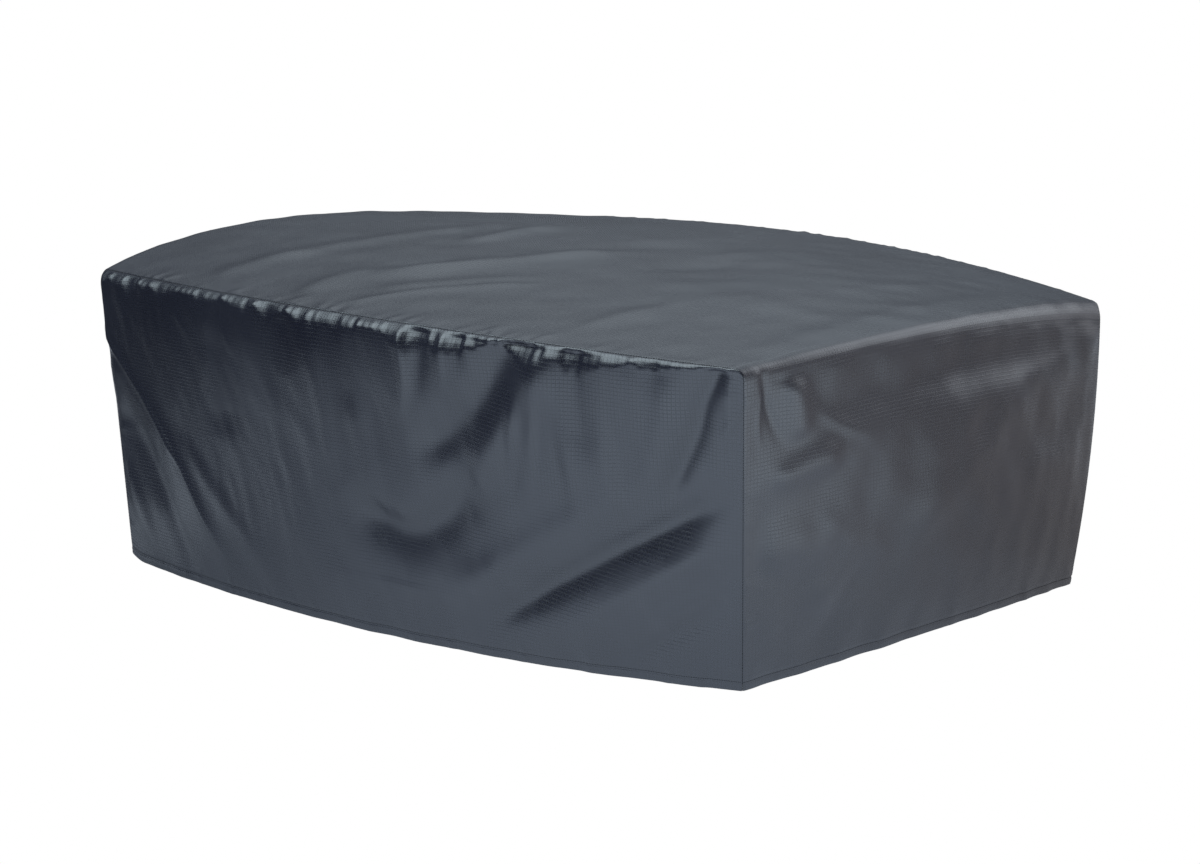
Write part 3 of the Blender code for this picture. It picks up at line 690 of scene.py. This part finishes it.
def hem_relief(seed, along, above, length):
    """The stitched band: raised, with a groove and even small puckers at its stitches."""
    groove = -HEM_GROOVE * np.exp(-((above - HEM_BAND) / HEM_GROOVE_WIDTH) ** 2)
    band = smooth((HEM_BAND - above) / HEM_BAND_EDGE + 0.5)
    even = ((0.0, 1.0), (length, 1.0))
    puckers = pucker_relief(seed, HEM_PUCKER, along, np.abs(above - HEM_BAND), even)
    return groove + puckers + HEM_RAISE * band


def blurred(along, listed, width):
    """A value listed by its place along the seam, averaged over a width to each side."""
    places, values = np.transpose(listed)
    steps = np.linspace(-width, width, 9)
    return np.mean([np.interp(along + step, places, values) for step in steps], axis=0)


def shoulder_relief(look, along, down):
    """How the cloth swells out under its top seam before it hangs straight."""
    uneven = 1.0
    for share, length, seed_step in SHOULDER_WAVES:
        uneven = uneven + share * waves(look.seed + seed_step, along, 0.0 * down, length, 12)
    reach = SHOULDER_REACH * blurred(along, look.shoulder, REACH_BLUR)
    reach = reach * np.clip(uneven, *SHOULDER_LIMITS)
    height = SHOULDER_HEIGHT * blurred(along, look.shoulder, HEIGHT_BLUR)
    height = height * np.interp(along, *np.transpose(SHOULDER_SLOPE))
    share = np.minimum(down / reach, 1.0)
    steep = height * (2.0 * share - share ** 2)
    slow = np.interp(along, *np.transpose(look.swell)) * (1.0 - np.exp(-down / SWELL_REACH))
    return (steep + slow) * np.exp(-(down / SHOULDER_FADE) ** 2)


# -------- sheets
def seam_pull(out, partner, distance):
    """How a seam's stitches draw the cloth in, alike on both of its sides."""
    return -unit(out + partner) * (GROOVE * np.exp(-distance / GROOVE_WIDTH))[..., None]


def along_seam(lengths, normals, places):
    """Normals known at some lengths along a seam, read at other places of it."""
    return unit(np.stack([np.interp(places, lengths, v) for v in normals.T], axis=1))


def thickened(grid, out, thickness, seams):
    """Outer and inner points of a sheet whose listed edges are mitred seams."""
    outer = grid.copy()
    inner = grid - facing(grid, out[out.shape[0] // 2, out.shape[1] // 2]) * thickness
    for edge, next_in, partner in seams:
        own = out[edge]
        shared = 1.0 + (own * partner).sum(axis=1, keepdims=True)
        corner = grid[edge] - SHEET * (own + partner) / shared
        into = grid[next_in] - grid[edge]
        into = unit(into - own * (into * own).sum(axis=1, keepdims=True))
        outer[edge] = grid[edge] + into * SEAM_PULL_BACK
        inner[edge] = corner + into * SEAM_PULL_BACK
    return outer, inner


def border(rows, columns):
    """Indices of a grid's border, once round."""
    index = np.arange(rows * columns).reshape(rows, columns)
    return np.concatenate([
        index[0, :-1], index[:-1, -1], index[-1, :0:-1], index[:0:-1, 0],
    ])


def sheet_faces(rows, columns):
    """Quads of a closed sheet: outer points first, then as many inner ones."""
    index = np.arange(rows * columns).reshape(rows, columns)
    a, b = index[:-1, :-1].ravel(), index[:-1, 1:].ravel()
    d, e = index[1:, :-1].ravel(), index[1:, 1:].ravel()
    inner = rows * columns
    edge = border(rows, columns)
    turned = np.roll(edge, -1)
    return np.vstack([
        np.stack([a, d, e, b], axis=1),
        inner + np.stack([a, b, e, d], axis=1),
        np.stack([edge, turned, inner + turned, inner + edge], axis=1),
    ])


def add_mesh(name, points, faces, material):
    """Smooth-shaded mesh object from an array of points and a list of faces."""
    mesh = bpy.data.meshes.new(name)
    mesh.from_pydata(points.tolist(), [], faces)
    mesh.materials.append(material)
    mesh.shade_smooth()
    thing = bpy.data.objects.new(name, mesh)
    bpy.context.scene.collection.objects.link(thing)
    return thing


def add_sheet(name, outer, inner, places, material):
    """One closed sheet, with its places on the cloth in metres as a UV map."""
    rows, columns = outer.shape[:2]
    points = np.vstack([outer.reshape(-1, 3), inner.reshape(-1, 3)])
    faces = sheet_faces(rows, columns)
    facing_way = np.cross(outer[1, 0] - outer[0, 0], outer[0, 1] - outer[0, 0])
    if np.dot(facing_way, outer[0, 0] - inner[0, 0]) < 0:
        faces = faces[:, ::-1]
    thing = add_mesh(name, points, faces.tolist(), material)
    mesh = thing.data
    corners = np.zeros(len(mesh.loops), dtype=np.int32)
    mesh.loops.foreach_get("vertex_index", corners)
    at = np.stack(np.broadcast_arrays(*places), axis=-1).reshape(-1, 2)
    at = np.vstack([at, at])[corners]
    layer = mesh.uv_layers.new(name=CLOTH_MAP)
    layer.uv.foreach_set("vector", at.astype(np.float32).ravel())
    mesh.set_sharp_from_angle(angle=np.radians(60.0))
    return thing


# -------- stitching
def stitch_faces():
    """Faces of one stitch: its first tip is point 0, two rings are 1 to 8, the last tip is 9."""
    pairs = [(k, (k + 1) % 4) for k in range(4)]
    body = [(1 + a, 1 + b, 5 + b, 5 + a) for a, b in pairs]
    first = [(0, 1 + b, 1 + a) for a, b in pairs]
    last = [(9, 5 + a, 5 + b) for a, b in pairs]
    return body + first + last


def stitch_points(line, out):
    """Points of a row of stitches along a line whose cloth faces out, ten for each."""
    lengths = arc(line)
    centres = (np.arange(int(lengths[-1] // STITCH_PITCH)) + 0.5) * STITCH_PITCH
    start, end = (
        np.stack([np.interp(centres + step, lengths, c) for c in line.T], axis=1)
        for step in (-0.5 * STITCH_LENGTH, 0.5 * STITCH_LENGTH))
    up = along_seam(lengths, out, centres)
    run = unit(end - start)
    aside = np.cross(run, up)
    raised = STITCH_SINK * STITCH_RADIUS * up
    rows = [start - raised]
    for share in (-STITCH_BODY, STITCH_BODY):
        centre = 0.5 * (start + end) + run * STITCH_LENGTH * share + raised
        rows += [centre + STITCH_RADIUS * (x * aside + z * up) for x, z in STITCH_RING]
    rows.append(end - raised)
    return np.stack(rows, axis=1)


def add_stitches(name, lines, material):
    """Rows of stitches as one piece. lines are pairs of a line and its normals."""
    stitches = np.vstack([stitch_points(line, out) for line, out in lines])
    count, size = stitches.shape[:2]
    one = stitch_faces()
    faces = [tuple(size * k + i for i in face) for k in range(count) for face in one]
    return add_mesh(name, stitches.reshape(-1, 3), faces, material)


# -------- materials
class Nodes:
    """Short names for the nodes of one tree."""

    def __init__(self, tree):
        self.tree = tree

    def add(self, kind, inputs=(), **settings):
        """A node with its settings, and with its inputs linked or set by name or place."""
        node = self.tree.nodes.new(kind)
        for key, value in settings.items():
            setattr(node, key, value)
        self.feed(node, inputs)
        return node

    def feed(self, node, inputs):
        """Links or sets some inputs of a node."""
        for key, value in dict(inputs).items():
            if isinstance(value, bpy.types.NodeSocket):
                self.tree.links.new(value, node.inputs[key])
            else:
                node.inputs[key].default_value = value

    def math(self, operation, first, second=0.0, third=0.0):
        """One math node's result."""
        inputs = {0: first, 1: second, 2: third}
        return self.add("ShaderNodeMath", inputs, operation=operation).outputs[0]

    def vector(self, operation, inputs, output=0):
        """One vector math node's result."""
        return self.add("ShaderNodeVectorMath", inputs, operation=operation).outputs[output]

    def noise(self, vector, scale, detail):
        """Noise of about that many waves per metre."""
        inputs = {"Vector": vector, "Scale": scale, "Detail": detail, "Roughness": 0.5}
        return self.add("ShaderNodeTexNoise", inputs).outputs["Fac"]

    def spread(self, value, low, high, to_low, to_high, smooth_step=False):
        """A value between low and high mapped to another range."""
        kind = "SMOOTHSTEP" if smooth_step else "LINEAR"
        inputs = {"Value": value, "From Min": low, "From Max": high,
                  "To Min": to_low, "To Max": to_high}
        return self.add("ShaderNodeMapRange", inputs, interpolation_type=kind).outputs[0]

    def mix(self, share, first, second):
        """Two colours mixed, with that share of the second."""
        inputs = {0: share, 6: first, 7: second}
        return self.add("ShaderNodeMix", inputs, data_type="RGBA").outputs[2]

    def sum_of_lights(self, total, lights):
        """A colour, and added to it each light's colour times its share."""
        for colour, share in lights:
            scaled = self.vector("SCALE", {0: colour, 3: share})
            total = self.vector("ADD", {0: scaled, 1: total})
        return total

    def white_to_camera(self, colour, emitter, output):
        """Ends the tree: white to the camera, and to everything else light of a colour."""
        seen = self.add("ShaderNodeLightPath").outputs["Is Camera Ray"]
        own = self.add(emitter, {"Color": colour, "Strength": 1.0}).outputs[0]
        white = self.add(emitter, {"Color": WHITE, "Strength": 1.0}).outputs[0]
        mixed = self.add("ShaderNodeMixShader", {0: seen, 1: own, 2: white}).outputs[0]
        self.tree.links.new(mixed, self.add(output).inputs["Surface"])


def new_material(name):
    """A material, with short names for its nodes and its shader."""
    material = bpy.data.materials.new(name)
    material.use_nodes = True
    tree = material.node_tree
    return material, Nodes(tree), tree.nodes["Principled BSDF"]


def ripstop(n):
    """The weave's two patterns, both on the cloth's own map: thick yarns, and fine weave."""
    uv = n.add("ShaderNodeUVMap", uv_map=CLOTH_MAP).outputs["UV"]
    parts = n.add("ShaderNodeSeparateXYZ", {0: uv}).outputs
    yarns, weaves = [], []
    for axis in (0, 1):
        away = n.math("PINGPONG", parts[axis], RIPSTOP_PITCH / 2)
        yarns.append(n.spread(away, *RIPSTOP_YARN, 1.0, 0.0, smooth_step=True))
        turn = n.math("MULTIPLY", parts[axis], 2 * np.pi / WEAVE_REPEAT)
        weaves.append(n.math("SINE", turn))
    return n.math("MAXIMUM", *yarns), n.math("MULTIPLY", *weaves)


def cloth_material():
    """Coated ripstop: a fine plain weave with a thicker yarn every centimetre."""
    material, n, shader = new_material("coated_ripstop")
    grid, weave = ripstop(n)
    place = n.add("ShaderNodeTexCoord").outputs["Object"]
    blotch = n.noise(place, 2.2, 4.0)
    grain = n.noise(place, 60.0, 2.0)
    tone = n.spread(blotch, *BLOTCH_RANGE, 0.0, 1.0)
    colour = n.mix(tone, CLOTH_DARK, CLOTH_LIGHT)
    colour = n.mix(n.math("MULTIPLY", grid, YARN_SHARE), colour, YARN_COLOUR)
    rough = n.spread(blotch, *BLOTCH_RANGE, *CLOTH_ROUGHNESS)
    rough = n.math("ADD", rough, n.math("MULTIPLY", grid, YARN_ROUGHNESS))
    height = n.math("MULTIPLY", grid, YARN_HEIGHT)
    height = n.math("MULTIPLY_ADD", weave, WEAVE_HEIGHT, height)
    height = n.math("MULTIPLY_ADD", grain, GRAIN_HEIGHT, height)
    bump = n.add("ShaderNodeBump", {"Height": height, "Strength": 1.0, "Distance": 1.0})
    n.feed(shader, {
        "Base Color": colour, "Roughness": rough, "Normal": bump.outputs[0],
        "Specular IOR Level": 0.9, "Sheen Weight": 0.012, "Sheen Roughness": 0.4,
        "Sheen Tint": SHEEN_TINT,
    })
    return material


def thread_material():
    """Twisted dark polyester thread."""
    material, n, shader = new_material("thread")
    place = n.add("ShaderNodeTexCoord").outputs["Object"]
    shade = n.noise(place, 900.0, 2.0)
    colour = n.mix(shade, THREAD_DARK, THREAD_LIGHT)
    bump = n.add("ShaderNodeBump", {"Height": shade, "Strength": 0.4, "Distance": 0.0002})
    n.feed(shader, {"Base Color": colour, "Normal": bump.outputs[0],
                    "Roughness": 0.7, "Specular IOR Level": 0.2})
    return material


# -------- the cover
Strip = namedtuple("Strip", "grid out across width")
Panel = namedtuple("Panel", "grid out along down seam")
Piece = namedtuple("Piece", "sheet outer out above")
EVERY = slice(None)


def lowered(grid):
    """Moves the form so that the origin is under the crown."""
    crown = top_surface(0.5, 0.5)[0, 2] - SHEET
    return grid - np.array((0.0, 0.0, crown))


def strip_form():
    """The strip before its relief, with its places across from the near seam."""
    grid = np.stack([strip_line(w, STRIP_LINES) for w in STRIP_ACROSS], axis=1)
    width = np.linalg.norm(grid[:, -1] - grid[:, 0], axis=1)[:, None]
    return Strip(grid, facing(grid, (0, 0, 1)), STRIP_ACROSS[None, :] * width, width)


def panel_before_relief(side):
    """A side panel before its relief, with its places and the line of its seam."""
    look = LOOKS[side]
    seam = strip_line(look.place, look.lines)
    grid, along, down = panel_form(side, seam)
    out = facing(grid, np.append(SIDES[side].outward, 0.0))
    return Panel(grid, out, along, down, seam)


def end_folds(folds, across, fractions):
    """Folds of one end, kept off its roll."""
    down = (DROP - fractions * (DROP - ROLL_NEAR))[:, None]
    return smooth((down - ROLL_NEAR) / SEAM_CALM) * fold_relief(folds, across, down)


def strip_relief(strip):
    """Folds, creases, gathers and hems of the strip."""
    across, width = strip.across, strip.width
    x, y = strip.grid[..., 0], strip.grid[..., 1]
    run, far_run = arc(strip.grid[:, 0])[:, None], arc(strip.grid[:, -1])[:, None]
    to_right_hem = run[-1] - run
    left_rows, right_rows = STRIP_LINES.left.size, STRIP_LINES.right.size
    top = slice(left_rows, -right_rows)
    half = slice(run.size // 2, None)

    relief = np.zeros(across.shape)
    relief[:left_rows] = end_folds(LEFT_FOLDS, across[:left_rows], STRIP_LINES.left)
    right_folds = end_folds(RIGHT_FOLDS, across[-right_rows:], STRIP_LINES.right[::-1])
    relief[-right_rows:] = right_folds
    relief[top] = fold_relief(TOP_FOLDS, x[top], y[top])
    relief[half] += crease_relief(RIGHT_CREASES, across[half], (DROP - to_right_hem)[half])
    relief[top] += crease_relief(TOP_CREASES, x[top], y[top])
    on_top = (run > TOP_START) & (run < TOP_END)
    relief += crumple(11, run, across) * np.where(on_top, TOP_CRUMPLE, 1.0)
    relief *= calm(across) * calm(width - across)

    relief += pucker_relief(21, TOP_PUCKER, run, across, STRIP_GATHERS)
    relief += pucker_relief(22, TOP_PUCKER, far_run, width - across, STRIP_GATHERS)
    relief += hem_relief(23, across, run, END_HEM_LENGTH)
    relief += hem_relief(24, across, to_right_hem, END_HEM_LENGTH)
    return relief


def panel_relief(look, along, down):
    """Folds, creases, gathers and the hem of a side panel."""
    seed = look.seed
    width = along[0, -1]
    side = np.minimum(along, width - along)
    toward_hem = smooth((down - HEM_CALM_START) / HEM_CALM_RUN)
    still = calm(side) * calm(down) * (1.0 - HEM_CALM * toward_hem)
    relief = fold_relief(look.folds, along, down)
    x, y = PANEL_STRETCH[0] * (along - PANEL_SLANT * down), PANEL_STRETCH[1] * down
    relief = relief + PANEL_CRUMPLE * crumple(seed, x, y)
    creases = crease_relief(look.creases, along, down)
    creases = creases * smooth(down / CREASE_CALM) * smooth(side / CREASE_CALM)
    relief = relief * still + creases

    relief = relief + shoulder_relief(look, along, down) * smooth(side / SHOULDER_CALM)
    relief += pucker_relief(seed + 4, SEAM_PUCKER, along, down, look.gathers)
    relief += pucker_relief(seed + 5, CORNER_PUCKER, down, along, CORNER_GATHERS)
    relief += pucker_relief(seed + 6, CORNER_PUCKER, down, width - along, CORNER_GATHERS)
    return relief + hem_relief(seed + 7, along, DROP - down, width)


def hem_thickness(above):
    """Thickness of the cloth, greater where the hem is turned in."""
    turned_in = smooth((HEM_LAYERS_TOP - above) / HEM_LAYERS_EDGE)
    return SHEET + HEM_LAYERS * turned_in[..., None]


def build_strip(strip, panels, cloth):
    """The strip's sheet, drawn in where it is sewn to the two panels."""
    grid = strip.grid + strip.out * strip_relief(strip)[..., None]
    near, far = (
        along_seam(arc(panels[side].seam), rim(panels[side].out),
                   arc(strip.grid[:, LOOKS[side].column]))
        for side in ("near", "far"))
    grid = grid + seam_pull(strip.out, near[:, None], strip.across)
    grid = grid + seam_pull(strip.out, far[:, None], strip.width - strip.across)
    seams = [((EVERY, 0), (EVERY, 1), near), ((EVERY, -1), (EVERY, -2), far)]
    run = arc(strip.grid[:, 0])[:, None]
    above = np.minimum(run, run[-1] - run) + 0.0 * strip.across
    outer, inner = thickened(lowered(grid), strip.out, hem_thickness(above), seams)
    sheet = add_sheet("top_and_ends_cloth", outer, inner, (run, strip.across), cloth)
    return Piece(sheet, outer, strip.out, above)


def build_panel(side, panel, strip, cloth):
    """A side panel's sheet, drawn in where it is sewn to the strip."""
    look = LOOKS[side]
    out = panel.out
    along, down = np.broadcast_arrays(panel.along, panel.down)
    grid = panel.grid + out * panel_relief(look, panel.along, panel.down)[..., None]
    strip_run, strip_out = arc(strip.grid[:, look.column]), strip.out[:, look.column]
    left, top, right = split_seam(side, along_seam(strip_run, strip_out, arc(panel.seam)))
    start = smooth(panel.down / GROOVE_START)[..., None]
    grid = grid + seam_pull(out, top[None], down)
    grid = grid + seam_pull(out, left[:, None], along) * start
    grid = grid + seam_pull(out, right[:, None], along[0, -1] - along) * start
    seams = [((0, EVERY), (1, EVERY), top), ((EVERY, 0), (EVERY, 1), left),
             ((EVERY, -1), (EVERY, -2), right)]
    above = DROP - down
    outer, inner = thickened(lowered(grid), out, hem_thickness(above), seams)
    sheet = add_sheet(side + "_side_cloth", outer, inner, (along, down), cloth)
    return Piece(sheet, outer, out, above)


def build_cover():
    """The three sheets, by the names that LOOKS and NODES use."""
    cloth = cloth_material()
    strip = strip_form()
    panels = {side: panel_before_relief(side) for side in LOOKS}
    pieces = {"top": build_strip(strip, panels, cloth)}
    for side, panel in panels.items():
        pieces[side] = build_panel(side, panel, strip, cloth)
    return pieces


def hem_line(piece, rows):
    """Line of the hem's stitches among rows that end at the hem, and its normals."""
    k = int(np.argmin(np.abs(piece.above[rows, 0] - HEM_BAND)))
    row = np.arange(piece.outer.shape[0])[rows][k]
    return piece.outer[row] + HEM_STITCH_LIFT * piece.out[row], piece.out[row]


def seam_line(panel, strip, column):
    """Line of the stitches that join a panel to the strip, and its normals."""
    seam = rim(panel.outer)
    strip_run, strip_out = arc(strip.outer[:, column]), strip.out[:, column]
    out = unit(rim(panel.out) + along_seam(strip_run, strip_out, arc(seam)))
    return seam + SEAM_STITCH_LIFT * out, out


def stitch_cover(pieces):
    """One piece of stitches for each sheet: its hems, and a panel's seam to the strip."""
    thread = thread_material()
    strip = pieces["top"]
    half = strip.outer.shape[0] // 2
    lines = [hem_line(strip, slice(0, half)), hem_line(strip, slice(half, None))]
    stitches = {"top": add_stitches("end_hem_stitches", lines, thread)}
    for side, look in LOOKS.items():
        lines = [hem_line(pieces[side], EVERY), seam_line(pieces[side], strip, look.column)]
        stitches[side] = add_stitches(side + "_seam_and_hem_stitches", lines, thread)
    return stitches


def register(pieces, stitches):
    """What each piece rides on, and the CAD part it replaces."""
    for key, (sheet, *_) in pieces.items():
        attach(sheet, "root")
        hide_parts(NODES[key])
        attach(stitches[key], "root")


# -------- studio
def emptied(owner):
    """Short names for the nodes of a material or world that starts without any."""
    owner.use_nodes = True
    owner.node_tree.nodes.clear()
    return Nodes(owner.node_tree)


def add_floor():
    """White to the camera; to everything else soft pools of light on a dim floor."""
    material = bpy.data.materials.new("pale_floor")
    n = emptied(material)
    place = n.add("ShaderNodeTexCoord").outputs["Object"]
    lights = []
    for centre, full, end, colour in POOLS:
        away = n.vector("DISTANCE", {0: place, 1: (*centre, 0.0)}, "Value")
        lights.append((colour, n.spread(away, full, end, 1.0, 0.0, smooth_step=True)))
    total = n.sum_of_lights(FLOOR_GLOW, lights)
    n.white_to_camera(total, "ShaderNodeEmission", "ShaderNodeOutputMaterial")
    bpy.ops.mesh.primitive_circle_add(
        vertices=128, radius=FLOOR_RADIUS, fill_type="NGON", location=(0, 0, FLOOR_HEIGHT))
    floor = bpy.context.object
    floor.name = "floor"
    floor.data.materials.append(material)


def add_world():
    """White to the camera, soft separate lights to everything else."""
    world = bpy.data.worlds.new("studio")
    bpy.context.scene.world = world
    n = emptied(world)
    way = n.add("ShaderNodeTexCoord").outputs["Generated"]
    lights = []
    for direction, start, full, colour in GLOWS:
        unit = np.array(direction) / np.linalg.norm(direction)
        cosine = n.vector("DOT_PRODUCT", {0: way, 1: tuple(unit)}, "Value")
        lights.append((colour, n.spread(cosine, start, full, 0.0, 1.0, smooth_step=True)))
    total = n.sum_of_lights(AMBIENT, lights)
    n.white_to_camera(total, "ShaderNodeBackground", "ShaderNodeOutputWorld")


def add_camera():
    """The camera at the photo's angle."""
    camera = bpy.data.cameras.new("camera")
    camera.lens = LENS
    camera.sensor_width = SENSOR
    eye = bpy.data.objects.new("camera", camera)
    eye.location = CAMERA_PLACE
    eye.rotation_euler = np.radians((90.0 - CAMERA_PITCH, 0.0, CAMERA_YAW))
    bpy.context.scene.collection.objects.link(eye)
    bpy.context.scene.camera = eye


bpy.context.scene.view_settings.view_transform = "Standard"
cover = build_cover()
register(cover, stitch_cover(cover))
add_floor()
add_world()
add_camera()
